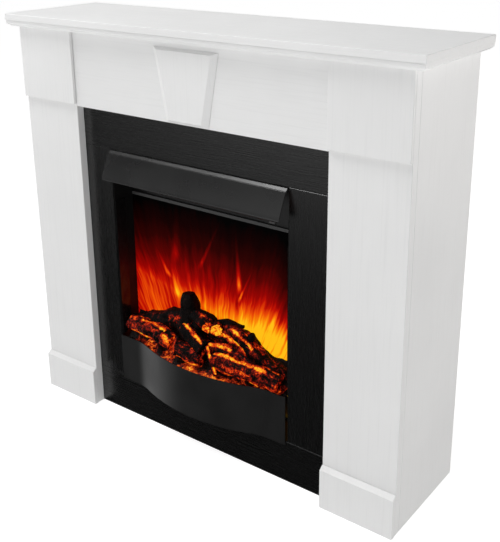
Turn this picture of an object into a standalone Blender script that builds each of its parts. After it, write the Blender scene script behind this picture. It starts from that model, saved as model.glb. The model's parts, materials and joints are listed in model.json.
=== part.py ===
"""Free-standing electric fireplace: a white MDF mantel around a black electric fire insert.

Metres, +Z up, +X to the right as seen from the front, +Y towards the wall. The origin is under the
middle of the bounding box, on the floor. The front faces of the two pilasters lie in the plane
y = FACE_Y, and the empties "mantel" and "insert" stand in that plane, so every piece below is
placed by its distance behind it (a negative y stands proud of the pilasters).
"""

import math

import bmesh
import bpy
from mathutils import Matrix, Vector

# ---- Driving dimensions -------------------------------------------------------------------------
WIDTH = 1.036            # over the shelf
DEPTH = 0.278            # shelf front to wall
HEIGHT = 0.940
GAP = 0.0003             # between pieces that touch

SHELF_OVERHANG = 0.0248  # shelf front, proud of the pilasters
SLAB_T = 0.0148
UNDERBOARD_T = 0.0129
UNDERBOARD_INSET = 0.0018
BODY_HALF = 0.4915       # outer faces of the side panels
OPENING_HALF = 0.3265    # inner edges of the pilasters
BOARD_T = 0.0192
SIDE_T = 0.018
FRIEZE_BOTTOM = 0.748
BLOCK_BOTTOM = 0.753
BLOCK_PROUD = 0.0073
PLINTH_H = 0.096
PLINTH_PROUD = 0.011
PLINTH_CHAMFER = 0.0074
BOARD_EDGE = 0.0008      # broken edge of every painted board

KEYSTONE_X = -0.0044
KEYSTONE_TOP_HALF = 0.0835
KEYSTONE_BOTTOM_HALF = 0.055
KEYSTONE_Z = (0.7505, 0.9005)
KEYSTONE_PROUD = 0.0075
KEYSTONE_SIDE_BEVEL = 0.0135
KEYSTONE_END_BEVEL = 0.005

FASCIA_T = 0.016
FASCIA_HALF = 0.345
FIRE_LEFT = -0.2493      # the opening in the fascia that the insert fills
FIRE_RIGHT = 0.2280
FIRE_BOTTOM = 0.0975
FIRE_TOP = 0.6576

INSERT_X = (FIRE_LEFT + FIRE_RIGHT) / 2
INSERT_HALF = (FIRE_RIGHT - FIRE_LEFT) / 2
SHEET_T = 0.0012         # steel of the insert's casing
CASING_FRONT = 0.021
CASING_BACK = 0.205
CASING_HALF = INSERT_HALF - 0.0006
CASING_TOP = 0.6568
HOOD_FLANGE_BACK = 0.0340
HOOD_NOTCH_Z = 0.5900    # the casing sides stop here in front of the hood's flange
DECK_Z = 0.5393          # underside of the lip between fire and heater
DECK_LIP_H = 0.007
SCREEN_Y = 0.077
SCREEN_T = 0.003
APRON_Z = (0.0890, 0.2030)
APRON_T = 0.002
APRON_WING_Y = 0.0172
APRON_BULGE = 0.0360
APRON_HALF_CHORD = 0.168
APRON_BLEND = 0.010

PLATE_Y = 0.081          # front of the control plate
SWITCH_TILT = math.radians(7.0)
CONTROL_X = 0.1565       # from the middle of the insert
SWITCH_Z = (0.5545, 0.5725, 0.5905)
KNOB_Z = 0.619

FAN_Y, FAN_Z, FAN_R = 0.150, 0.598, 0.028
FAN_X = (-0.215, 0.085)  # from the middle of the insert
SPINDLE_Y, SPINDLE_Z, SPINDLE_R = 0.118, 0.150, 0.013

# ---- Derived ------------------------------------------------------------------------------------
FACE_Y = -DEPTH / 2 + SHELF_OVERHANG
BACK = DEPTH - SHELF_OVERHANG    # depth of the wall side behind the pilaster faces
UNDERBOARD_TOP = HEIGHT - SLAB_T - GAP
UNDERBOARD_Z = UNDERBOARD_TOP - UNDERBOARD_T
BODY_TOP = UNDERBOARD_Z - GAP
FASCIA_Y = BOARD_T + GAP
BEHIND_FASCIA = FASCIA_Y + FASCIA_T + GAP
INNER_HALF = BODY_HALF - SIDE_T - GAP


# ---- Scene and materials ------------------------------------------------------------------------
def clear_scene():
    for obj in list(bpy.data.objects):
        bpy.data.objects.remove(obj, do_unlink=True)


def make_material(name, color, roughness, metallic=0.0):
    mat = bpy.data.materials.new(name)
    mat.use_nodes = True
    shader = mat.node_tree.nodes["Principled BSDF"]
    shader.inputs["Base Color"].default_value = (*color, 1.0)
    shader.inputs["Roughness"].default_value = roughness
    shader.inputs["Metallic"].default_value = metallic
    mat.diffuse_color = (*color, 1.0)
    return mat


def make_frame(name, x):
    empty = bpy.data.objects.new(name, None)
    empty.location = (x, FACE_Y, 0.0)
    bpy.context.scene.collection.objects.link(empty)
    return empty


# ---- Shapes -------------------------------------------------------------------------------------
def add_piece(name, bm, mat, parent, origin):
    """Turn a closed bmesh, built in the parent's frame, into an object with its origin there."""
    bmesh.ops.recalc_face_normals(bm, faces=bm.faces)
    bmesh.ops.translate(bm, vec=-Vector(origin), verts=bm.verts)
    mesh = bpy.data.meshes.new(name)
    bm.to_mesh(mesh)
    bm.free()
    mesh.materials.append(mat)
    obj = bpy.data.objects.new(name, mesh)
    obj.location = origin
    obj.parent = parent
    bpy.context.scene.collection.objects.link(obj)
    return obj


def box_bmesh(x, y, z, bm=None):
    bm = bm or bmesh.new()
    centre = Vector((sum(x) / 2, sum(y) / 2, sum(z) / 2))
    size = Matrix.Diagonal((x[1] - x[0], y[1] - y[0], z[1] - z[0], 1.0))
    bmesh.ops.create_cube(bm, size=1.0, matrix=Matrix.Translation(centre) @ size)
    return bm


def break_edges(obj, width, segments=1):
    bevel = obj.modifiers.new("edges", "BEVEL")
    bevel.width = width
    bevel.segments = segments
    bevel.limit_method = "ANGLE"
    bevel.angle_limit = math.radians(30)
    return obj


def board(name, x, y, z, mat, parent, edge=0.0):
    centre = (sum(x) / 2, sum(y) / 2, sum(z) / 2)
    obj = add_piece(name, box_bmesh(x, y, z), mat, parent, centre)
    return break_edges(obj, edge) if edge else obj


def loft(name, rings, mat, parent, origin, closed=False, smooth=0.0):
    """Join rings of equal length into one closed body, with a face on each end unless it closes."""
    bm = bmesh.new()
    loops = [[bm.verts.new(p) for p in ring] for ring in rings]
    pairs = list(zip(loops, loops[1:]))
    if closed:
        pairs.append((loops[-1], loops[0]))
    else:
        bm.faces.new(loops[0])
        bm.faces.new(loops[-1])
    for first, second in pairs:
        for i, vert in enumerate(first):
            j = (i + 1) % len(first)
            bm.faces.new((vert, first[j], second[j], second[i]))
    obj = add_piece(name, bm, mat, parent, origin)
    if smooth:
        obj.data.shade_smooth()
        obj.data.set_sharp_from_angle(angle=math.radians(smooth))
    return obj


def prism(name, outline, axis, span, mat, parent, smooth=0.0):
    """Extrude an outline of the two other coordinates, in X, Y, Z order, along one axis."""
    index = "XYZ".index(axis)
    rings = []
    for level in span:
        ring = [list(point) for point in outline]
        for point in ring:
            point.insert(index, level)
        rings.append(ring)
    low = [min(p[k] for ring in rings for p in ring) for k in range(3)]
    high = [max(p[k] for ring in rings for p in ring) for k in range(3)]
    origin = [(a + b) / 2 for a, b in zip(low, high)]
    return loft(name, rings, mat, parent, origin, smooth=smooth)


def circle(radius, count, phase=0.0):
    turn = 2 * math.pi / count
    return [(radius * math.cos(i * turn + phase), radius * math.sin(i * turn + phase)) for i in range(count)]


def turned(name, axis, centre, profile, mat, parent, sides=24):
    """A round body from (position along the axis, radius) pairs."""
    index = "XYZ".index(axis)
    others = [k for k in range(3) if k != index]
    rings = []
    for position, radius in profile:
        ring = []
        for a, b in circle(radius, sides):
            point = list(centre)
            point[index] += position
            point[others[0]] += a
            point[others[1]] += b
            ring.append(point)
        rings.append(ring)
    return loft(name, rings, mat, parent, centre, smooth=40)


def sheet_outline(path, thickness):
    """Close a bent line into a strip: the line itself and its offset to the right of its direction."""
    points = [Vector(p) for p in path]
    normals = []
    for a, b in zip(points, points[1:]):
        step = (b - a).normalized()
        normals.append(Vector((step.y, -step.x)))
    offset = []
    for i, point in enumerate(points):
        before = normals[max(i - 1, 0)]
        after = normals[min(i, len(normals) - 1)]
        middle = (before + after).normalized()
        offset.append(point + middle * (thickness / middle.dot(after)))
    return [tuple(p) for p in points + offset[::-1]]


def arc(centre, radius, start, end, count):
    steps = [math.radians(start + (end - start) * i / (count - 1)) for i in range(count)]
    return [(centre[0] + radius * math.cos(a), centre[1] + radius * math.sin(a)) for a in steps]


def toothed_outline(span, count, base, height, share=0.5):
    """An outline along X with rectangular teeth from its base line up, on a bar as thick as they are tall."""
    pitch = (span[1] - span[0]) / count
    points = [(span[1], base - height), (span[0], base - height), (span[0], base)]
    for i in range(count):
        left = span[0] + pitch * (i + (1 - share) / 2)
        right = left + pitch * share
        points += [(left, base), (left, base + height), (right, base + height), (right, base)]
    points.append((span[1], base))
    return points


def cut_with(obj, bm, name):
    """Subtract a hidden cutter, given in the parent's frame, from a piece."""
    cutter = add_piece(name, bm, obj.data.materials[0], obj.parent, (0.0, 0.0, 0.0))
    cutter.hide_render = True
    cutter.display_type = "WIRE"
    cut = obj.modifiers.new(name, "BOOLEAN")
    cut.operation = "DIFFERENCE"
    cut.object = cutter
    return obj


def weld_on(obj, guide, name):
    """Join a hidden guide body onto a piece."""
    guide.hide_render = True
    guide.display_type = "WIRE"
    join = obj.modifiers.new(name, "BOOLEAN")
    join.operation = "UNION"
    join.object = guide
    return obj


# ---- Mantel -------------------------------------------------------------------------------------
def build_shelf(mantel, paint):
    half = WIDTH / 2
    slab = board(
        "shelf_top", (-half, half), (-SHELF_OVERHANG, BACK), (HEIGHT - SLAB_T, HEIGHT), paint, mantel
    )
    break_edges(slab, 0.0014, 2)

    chamfer_run, chamfer_rise = 0.009, 0.006
    side = half - UNDERBOARD_INSET
    front = -SHELF_OVERHANG + UNDERBOARD_INSET

    def rectangle(inset, z):
        x, y = side - inset, front + inset
        return [(-x, y, z), (x, y, z), (x, BACK, z), (-x, BACK, z)]

    rings = [
        rectangle(0.0, UNDERBOARD_TOP),
        rectangle(0.0, UNDERBOARD_Z + chamfer_rise),
        rectangle(chamfer_run, UNDERBOARD_Z),
    ]
    loft("shelf_underboard", rings, paint, mantel, (0.0, 0.0, UNDERBOARD_Z))


def build_body(mantel, paint):
    frieze_x = OPENING_HALF - GAP
    board(
        "frieze_board", (-frieze_x, frieze_x), (0.0, BOARD_T), (FRIEZE_BOTTOM, BODY_TOP),
        paint, mantel, BOARD_EDGE,
    )
    for side, sign in (("left", -1), ("right", 1)):
        outer, inner = sign * BODY_HALF, sign * OPENING_HALF
        x = tuple(sorted((outer, inner)))
        panel_x = tuple(sorted((outer, outer - sign * SIDE_T)))
        board(f"pilaster_{side}", x, (0.0, BOARD_T), (0.0, BODY_TOP), paint, mantel, BOARD_EDGE)
        board(
            f"corner_block_{side}", x, (-BLOCK_PROUD, -GAP), (BLOCK_BOTTOM, BODY_TOP),
            paint, mantel, BOARD_EDGE,
        )
        board(
            f"side_panel_{side}", panel_x, (BOARD_T + GAP, BACK), (0.0, BODY_TOP),
            paint, mantel, BOARD_EDGE,
        )
        plinth = [
            (-GAP, 0.0),
            (-PLINTH_PROUD, 0.0),
            (-PLINTH_PROUD, PLINTH_H - PLINTH_CHAMFER),
            (-2 * GAP, PLINTH_H),
            (-GAP, PLINTH_H),
        ]
        prism(f"plinth_block_{side}", plinth, "X", x, paint, mantel)


def build_keystone(mantel, paint):
    def trapezoid(side_inset, end_inset, y):
        low, high = KEYSTONE_Z[0] + end_inset, KEYSTONE_Z[1] - end_inset
        bottom, top = KEYSTONE_BOTTOM_HALF - side_inset, KEYSTONE_TOP_HALF - side_inset
        x = KEYSTONE_X
        return [(x - bottom, y, low), (x + bottom, y, low), (x + top, y, high), (x - top, y, high)]

    edge_t = 0.0008
    rings = [
        trapezoid(0.0, 0.0, -GAP),
        trapezoid(0.0, 0.0, -GAP - edge_t),
        trapezoid(KEYSTONE_SIDE_BEVEL, KEYSTONE_END_BEVEL, -KEYSTONE_PROUD),
    ]
    loft("keystone", rings, paint, mantel, (KEYSTONE_X, 0.0, sum(KEYSTONE_Z) / 2))


def build_carcass(mantel, raw_board):
    """The unseen boards that tie the mantel together and carry the insert."""
    shelf_t, rail_t, rail_h = 0.018, 0.018, 0.080
    shelf_top = FIRE_BOTTOM - 2 * GAP
    shelf_bottom = shelf_top - shelf_t
    x = (-INNER_HALF, INNER_HALF)
    rear = (BACK - rail_t, BACK)
    board("insert_shelf", x, (BEHIND_FASCIA, BACK), (shelf_bottom, shelf_top), raw_board, mantel, BOARD_EDGE)
    under = (0.0, shelf_bottom - GAP)
    board("front_stretcher", x, (BEHIND_FASCIA, BEHIND_FASCIA + rail_t), under, raw_board, mantel, BOARD_EDGE)
    board("rear_bottom_rail", x, rear, under, raw_board, mantel, BOARD_EDGE)
    board("rear_top_rail", x, rear, (BODY_TOP - rail_h, BODY_TOP), raw_board, mantel, BOARD_EDGE)


def build_brackets(mantel, zinc):
    """Steel angles: four tie the side panels to the shelf, two hold the insert against the fascia."""
    leg, steel, width = 0.032, 0.002, 0.020
    for side, sign in (("left", -1), ("right", 1)):
        wall = sign * INNER_HALF
        for place, y in (("front", 0.062), ("rear", 0.185)):
            path = [(wall, BODY_TOP - leg), (wall, BODY_TOP), (wall - sign * leg, BODY_TOP)]
            outline = sheet_outline(path, -sign * steel)
            prism(f"angle_bracket_{place}_{side}", outline, "Y", (y, y + width), zinc, mantel)
        casing = INSERT_X + sign * (CASING_HALF + GAP)
        reach = casing + sign * 0.026
        path = [(casing, BEHIND_FASCIA + leg), (casing, BEHIND_FASCIA), (reach, BEHIND_FASCIA)]
        outline = sheet_outline(path, -sign * steel)
        prism(f"insert_bracket_{side}", outline, "Z", (0.360, 0.390), zinc, mantel)


def build_fascia(mantel, foil):
    y = (FASCIA_Y, FASCIA_Y + FASCIA_T)
    x = (-FASCIA_HALF, FASCIA_HALF)
    stile_z = (FIRE_BOTTOM, FIRE_TOP)
    board("fascia_top_rail", x, y, (FIRE_TOP + GAP, FRIEZE_BOTTOM + 0.052), foil, mantel, BOARD_EDGE)
    board("fascia_bottom_rail", x, y, (0.0, FIRE_BOTTOM - GAP), foil, mantel, BOARD_EDGE)
    board("fascia_stile_left", (-FASCIA_HALF, FIRE_LEFT), y, stile_z, foil, mantel, BOARD_EDGE)
    board("fascia_stile_right", (FIRE_RIGHT, FASCIA_HALF), y, stile_z, foil, mantel, BOARD_EDGE)


# ---- Insert: casing -----------------------------------------------------------------------------
def build_casing(insert, steel, rubber):
    floor = FIRE_BOTTOM - GAP
    depth = (CASING_FRONT, CASING_BACK)
    inner = CASING_HALF - SHEET_T - GAP
    x = (-inner, inner)
    board("casing_base", x, depth, (floor, floor + SHEET_T), steel, insert)
    board("casing_top", x, (BEHIND_FASCIA, CASING_BACK), (CASING_TOP - SHEET_T, CASING_TOP), steel, insert)
    for side, sign in (("left", -1), ("right", 1)):
        outer = sign * CASING_HALF
        wall = tuple(sorted((outer, outer - sign * SHEET_T)))
        profile = [
            (CASING_FRONT, floor), (CASING_FRONT, HOOD_NOTCH_Z), (HOOD_FLANGE_BACK + 0.001, HOOD_NOTCH_Z),
            (HOOD_FLANGE_BACK + 0.001, CASING_TOP), (CASING_BACK, CASING_TOP), (CASING_BACK, floor),
        ]
        prism(f"casing_{side}", profile, "X", wall, steel, insert)

    back_y = (CASING_BACK + GAP, CASING_BACK + GAP + SHEET_T)
    back = board("casing_back", (-CASING_HALF, CASING_HALF), back_y, (floor, CASING_TOP), steel, insert)
    cutter = bmesh.new()
    cut_y = (back_y[0] - 0.002, back_y[1] + 0.002)
    slot_w, slot_h, pitch_x, pitch_z = 0.048, 0.005, 0.062, 0.014
    for z0, rows in ((0.565, 5), (0.135, 3)):
        for row in range(rows):
            for column in range(6):
                left = (column - 2.5) * pitch_x - slot_w / 2
                z = z0 + row * pitch_z
                box_bmesh((left, left + slot_w), cut_y, (z, z + slot_h), cutter)
    gland_x, gland_z, gland_r = 0.205, 0.230, 0.0075
    bmesh.ops.create_cone(
        cutter, cap_ends=True, segments=24, radius1=gland_r, radius2=gland_r, depth=cut_y[1] - cut_y[0],
        matrix=Matrix.Translation((gland_x, sum(cut_y) / 2, gland_z)) @ Matrix.Rotation(math.pi / 2, 4, "X"),
    )
    cut_with(back, cutter, "casing_back_cuts")

    # The bush lines the cable hole: a flange on each side of the sheet and a clear bore.
    bore, neck, flange, lip_t = 0.0040, gland_r - GAP, 0.0110, 0.0025
    section = [
        (bore, back_y[0] - 0.004), (neck, back_y[0] - 0.004), (neck, back_y[1] + GAP),
        (flange, back_y[1] + GAP), (flange, back_y[1] + lip_t), (neck, back_y[1] + 0.007),
        (bore, back_y[1] + 0.007),
    ]
    rings = []
    for cos, sin in circle(1.0, 24):
        rings.append([(gland_x + r * cos, y, gland_z + r * sin) for r, y in section])
    loft("cable_gland", rings, rubber, insert, (gland_x, back_y[1], gland_z), closed=True, smooth=40)


def build_firebox(insert, gloss, acrylic, steel):
    inner = CASING_HALF - SHEET_T - GAP
    lining_t = 0.002
    for side, sign in (("left", -1), ("right", 1)):
        wall = tuple(sorted((sign * inner, sign * (inner - lining_t))))
        board(f"firebox_wall_{side}", wall, (0.022, 0.050), (0.206, DECK_Z - 0.002), gloss, insert)
    board(
        "flame_screen", (-inner, inner), (SCREEN_Y, SCREEN_Y + SCREEN_T), (0.180, DECK_Z - GAP),
        acrylic, insert,
    )
    lip_y = SCREEN_Y - 0.001
    lip_top = DECK_Z + DECK_LIP_H
    deck = [
        (lip_y, DECK_Z), (lip_y, lip_top), (CASING_BACK - 0.002, lip_top),
        (CASING_BACK - 0.002, lip_top - SHEET_T), (lip_y + 0.012, lip_top - SHEET_T), (lip_y + 0.012, DECK_Z),
    ]
    prism("heater_deck", deck, "X", (-inner, inner), steel, insert)


def bow_y(x, wing_y):
    """Height of the bowed front over X: an arc that runs smoothly into two flat wings."""
    radius = (APRON_HALF_CHORD**2 + APRON_BULGE**2) / (2 * APRON_BULGE)
    reach = min(abs(x), radius * 0.9)
    arc_y = wing_y - APRON_BULGE + radius - math.sqrt(radius**2 - reach**2)
    share = max(0.0, min(1.0, 0.5 + 0.5 * (arc_y - wing_y) / APRON_BLEND))
    return arc_y * (1 - share) + wing_y * share - APRON_BLEND * share * (1 - share)


def build_apron(insert, satin):
    left, right, count = -INSERT_HALF + GAP, INSERT_HALF - 0.0058, 49
    steps = [left + (right - left) * i / (count - 1) for i in range(count)]
    path = [(x, bow_y(x, APRON_WING_Y)) for x in steps]
    prism("apron", sheet_outline(path, -APRON_T), "Z", APRON_Z, satin, insert, smooth=30)


def between(points, x):
    """Height of a broken line at x."""
    for (x0, z0), (x1, z1) in zip(points, points[1:]):
        if x <= x1:
            return z0 + (z1 - z0) * (x - x0) / (x1 - x0)
    return points[-1][1]


def build_logs(insert, resin):
    """The moulded log set in one piece: it follows the bowed front and rises to the rear logs."""
    half, clear, bottom, back = 0.228, 0.0035, 0.192, SCREEN_Y - 0.003
    ridge = ((-half, 0.248), (-0.100, 0.300), (-0.072, 0.340), (-0.045, 0.340), (0.000, 0.318),
             (0.110, 0.295), (0.155, 0.268), (half, 0.246))
    rings = []
    stations = 32
    for i in range(stations + 1):
        x = -half + 2 * half * i / stations
        front = bow_y(x, APRON_WING_Y) + APRON_T + clear
        crest = between(ridge, x)
        rings.append([
            (x, front, bottom), (x, front, 0.214), (x, front + 0.012, 0.228),
            (x, 0.036, 0.5 * (crest + 0.234)), (x, 0.046, crest - 0.006), (x, 0.060, crest),
            (x, back, crest - 0.012), (x, back, bottom),
        ])
    loft("log_set", rings, resin, insert, (0.0, SCREEN_Y / 2, bottom))


def build_hood(insert, satin):
    """Folded hood over the warm-air outlet: a flange, a narrow strip that faces up, the slightly
    crowned slope and a curled lip. Its lower corners are round."""
    top = 0.6553
    fold, foot = Vector((0.0105, 0.6514)), Vector((-0.0126, 0.5997))
    outward = Vector(((foot - fold).y, -(foot - fold).x)).normalized()
    crown, steps = 0.0009, 8
    path = [(HOOD_FLANGE_BACK, top), (0.0210, top)]
    for i in range(steps + 1):
        t = i / steps
        path.append(tuple(fold.lerp(foot, t) + outward * (4 * crown * t * (1 - t))))
    path += arc((-0.0108, 0.5972), 0.0030, 150, 285, 5)
    half = INSERT_HALF - 0.0010
    hood = prism("hood", sheet_outline(path, -0.0015), "X", (-half, half), satin, insert, smooth=25)

    radius, low, past = 0.0060, 0.5942, 0.0030
    corners = bmesh.new()
    for sign in (-1, 1):
        edge = sign * half
        curve = arc((edge - sign * radius, low + radius), radius, -90, 0, 7)
        if sign < 0:
            curve = [(2 * (edge + radius) - x, z) for x, z in curve]
        outline = curve + [(edge + sign * past, low + radius), (edge + sign * past, low - past),
                           (edge - sign * radius, low - past)]
        rows = [[corners.verts.new((x, y, z)) for x, z in outline] for y in (-0.030, 0.012)]
        count = len(outline)
        corners.faces.new(rows[0])
        corners.faces.new(rows[1])
        for i in range(count):
            j = (i + 1) % count
            corners.faces.new((rows[0][i], rows[0][j], rows[1][j], rows[1][i]))
    cut_with(hood, corners, "hood_corners")


# ---- Insert: controls ---------------------------------------------------------------------------
def build_controls(insert, satin, switch_plastic, board_green):
    inner = CASING_HALF - SHEET_T - GAP
    floor, ceiling = DECK_Z + DECK_LIP_H + GAP, CASING_TOP - SHEET_T - GAP
    plate_t = 0.0022
    plate_x = (CONTROL_X - 0.022, inner)
    plate = board("control_plate", plate_x, (PLATE_Y, PLATE_Y + plate_t), (floor, ceiling), satin, insert)
    half_w, half_h, play = 0.0070, 0.0052, 0.0012
    windows = bmesh.new()
    for z in SWITCH_Z:
        box_bmesh(
            (CONTROL_X - half_w - play, CONTROL_X + half_w + play),
            (PLATE_Y - 0.003, PLATE_Y + plate_t + 0.003),
            (z - half_h - play, z + half_h + play), windows,
        )
    cut_with(plate, windows, "control_plate_windows")

    # Each rocker turns on a pin along X. The lowest is pressed in at its top (on), the others at
    # their foot (off).
    names = ("power_switch", "low_heat_switch", "high_heat_switch")
    for name, z, tilt in zip(names, SWITCH_Z, (-SWITCH_TILT, SWITCH_TILT, SWITCH_TILT)):
        pivot_y = PLATE_Y + plate_t / 2
        rocker = [
            (0.0055, -0.0030), (0.0055, 0.0030), (0.0, half_h), (-0.0036, half_h),
            (-0.0026, 0.0), (-0.0036, -half_h), (0.0, -half_h),
        ]
        turned_points = []
        for y, h in rocker:
            turned_points.append((
                pivot_y + y * math.cos(tilt) - h * math.sin(tilt),
                z + y * math.sin(tilt) + h * math.cos(tilt),
            ))
        span = (CONTROL_X - half_w, CONTROL_X + half_w)
        rings = [[(x, y, h) for y, h in turned_points] for x in span]
        loft(name, rings, switch_plastic, insert, (CONTROL_X, pivot_y, z))

    # Brightness knob: a skirted cap with a raised pointer, turning on the plate.
    knob_y = PLATE_Y - GAP
    knob_r, skirt_r, knob_l = 0.0080, 0.0100, 0.0125
    profile = [(-knob_l, knob_r - 0.001), (-knob_l + 0.001, knob_r), (-0.003, knob_r), (-0.003, skirt_r),
               (0.0, skirt_r)]
    knob = turned("dimmer_knob", "Y", (CONTROL_X, knob_y, KNOB_Z), profile, switch_plastic, insert)
    pointer = box_bmesh(
        (CONTROL_X - 0.0008, CONTROL_X + 0.0008), (knob_y - knob_l - 0.001, knob_y - knob_l + 0.002),
        (KNOB_Z + 0.001, KNOB_Z + knob_r - 0.0015),
    )
    weld_on(knob, add_piece("knob_pointer", pointer, switch_plastic, insert, (0, 0, 0)), "pointer")

    # Control board behind the plate, with its parts on the side that faces the rear.
    pcb_x, pcb_y, pcb_z = (plate_x[0] + 0.006, inner - 0.006), (0.1120, 0.1136), (0.5560, 0.6400)
    pcb = board("control_board", pcb_x, pcb_y, pcb_z, board_green, insert)
    parts = ((0.008, 0.008, 0.018, 0.030, 0.016), (0.034, 0.012, 0.014, 0.022, 0.012),
             (0.056, 0.010, 0.012, 0.012, 0.020), (0.012, 0.050, 0.030, 0.022, 0.010),
             (0.052, 0.044, 0.016, 0.030, 0.013))
    for i, (dx, dz, width, height, depth) in enumerate(parts):
        x0, z0 = pcb_x[0] + dx, pcb_z[0] + dz
        body = box_bmesh((x0, x0 + width), (pcb_y[1] - 0.0005, pcb_y[1] + depth), (z0, z0 + height))
        weld_on(pcb, add_piece(f"board_part_{i}", body, board_green, insert, (0, 0, 0)), f"part_{i}")


# ---- Insert: fan heater -------------------------------------------------------------------------
def build_heater(insert, satin, steel, alloy, dark_plastic, ceramic):
    inner = CASING_HALF - SHEET_T - GAP
    floor, ceiling = DECK_Z + DECK_LIP_H + GAP, CASING_TOP - SHEET_T - GAP

    # Outlet grille in front of the element: three columns of slots between flat bars.
    x = (-inner, CONTROL_X - 0.022 - GAP)
    grille_y = (PLATE_Y + 0.001, PLATE_Y + 0.004)
    grille = board("outlet_grille", x, grille_y, (floor, ceiling), satin, insert)
    slots = bmesh.new()
    margin, bar, pitch, slot_h, columns = 0.012, 0.010, 0.0102, 0.0062, 3
    width = (x[1] - x[0] - 2 * margin - (columns - 1) * bar) / columns
    rows = int((ceiling - floor - 2 * margin) / pitch) + 1
    for column in range(columns):
        left = x[0] + margin + column * (width + bar)
        for row in range(rows):
            z = floor + margin + row * pitch - slot_h / 2
            cut_y = (grille_y[0] - 0.002, grille_y[1] + 0.002)
            box_bmesh((left, left + width), cut_y, (z, z + slot_h), slots)
    cut_with(grille, slots, "outlet_slots")

    # Finned heating element across the outlet.
    fins = toothed_outline((FAN_X[0] + 0.004, FAN_X[1] - 0.004), 36, 0.100, 0.007)
    element_z = (0.565, 0.632)
    prism("heating_element", fins, "Z", element_z, ceramic, insert)
    cutout = [(0.0, 0.007), (0.0045, 0.007), (0.0055, 0.0055)]
    place = (-0.060, 0.0965, element_z[1] + GAP)
    turned("thermal_cutout", "Z", place, cutout, dark_plastic, insert, sides=20)

    # Cross-flow impeller on a shaft along X: two end discs, blades between them.
    blades, shaft_r = 32, 0.003
    y, z = FAN_Y, FAN_Z

    def ring(at, outer, inner_r=None):
        points = []
        for i, (u, v) in enumerate(circle(1.0, 2 * blades)):
            radius = outer if inner_r is None or i % 2 == 0 else inner_r
            points.append((at, y + radius * u, z + radius * v))
        return points

    left, right, disc_t, stub = FAN_X[0] + 0.004, FAN_X[1] - 0.004, 0.002, 0.0065
    tip, root = FAN_R - 0.0005, FAN_R - 0.006
    rings = [
        ring(left - stub, shaft_r), ring(left, shaft_r), ring(left, FAN_R), ring(left + disc_t, FAN_R),
        ring(left + disc_t, tip, root), ring(right - disc_t, tip, root),
        ring(right - disc_t, FAN_R), ring(right, FAN_R), ring(right, shaft_r), ring(right + stub, shaft_r),
    ]
    loft("fan_impeller", rings, alloy, insert, ((left + right) / 2, y, z))

    # Scroll housing: a sheet bent round the back of the impeller, open to the front.
    scroll_r, mouth = FAN_R + 0.006, 0.1105
    path = [(mouth, z + scroll_r)] + arc((y, z), scroll_r, 90, -90, 15) + [(mouth, z - scroll_r)]
    span = (FAN_X[0] + GAP, FAN_X[1] - GAP)
    prism("fan_housing", sheet_outline(path, -SHEET_T), "X", span, steel, insert, smooth=40)

    # End plates with the shaft bearings, and the motor on the right one.
    for side, at, sign in (("left", FAN_X[0], -1), ("right", FAN_X[1], 1)):
        plate_x = tuple(sorted((at, at + sign * SHEET_T)))
        plate = board(f"fan_end_plate_{side}", plate_x, (0.108, 0.192), (floor, 0.640), steel, insert)
        hole = bmesh.new()
        bmesh.ops.create_cone(
            hole, cap_ends=True, segments=24, radius1=shaft_r + 0.0006, radius2=shaft_r + 0.0006, depth=0.01,
            matrix=Matrix.Translation((at, y, z)) @ Matrix.Rotation(math.pi / 2, 4, "Y"),
        )
        cut_with(plate, hole, f"shaft_hole_{side}")
    motor = [(0.0, 0.018), (0.004, 0.024), (0.024, 0.024), (0.028, 0.010)]
    turned("fan_motor", "X", (FAN_X[1] + 0.0045, y, z), motor, dark_plastic, insert, sides=28)


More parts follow.
